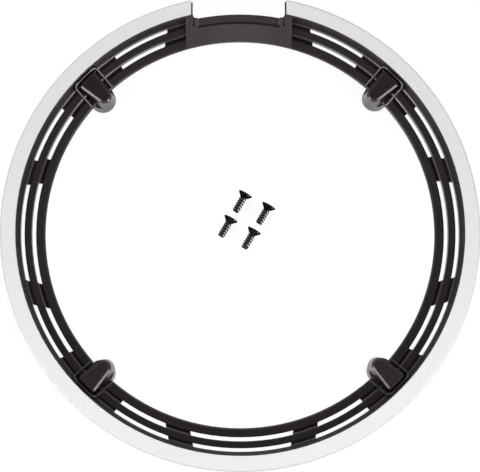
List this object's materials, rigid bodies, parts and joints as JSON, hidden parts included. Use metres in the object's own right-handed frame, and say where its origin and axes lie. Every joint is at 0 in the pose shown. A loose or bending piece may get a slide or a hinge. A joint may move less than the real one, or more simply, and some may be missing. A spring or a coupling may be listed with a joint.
{
  "type": "bicycle chain guard",
  "caption": "Dished black ring with slotted ribs, a silver trim rim, a chain gap and moulded screw bosses; it is screwed to a chainring to keep clothing off the chain.",
  "frame": {"origin": "centre of the screw circle, on the plane of the boss feet", "axes": "+Z along the ring's axis, out of its face; +Y through the middle of the chain gap"},
  "size_m": [0.2, 0.1979, 0.0186],
  "materials": {
    "carrier_plastic": "fine satin moulded black",
    "trim_metal": "matte silver",
    "screw_steel": "black zinc, slightly glossy"
  },
  "bodies": {
    "root": {"carrier_ring": "carrier_plastic", "trim_ring": "trim_metal", "fixing_screws": "screw_steel"}
  },
  "joints": []
}
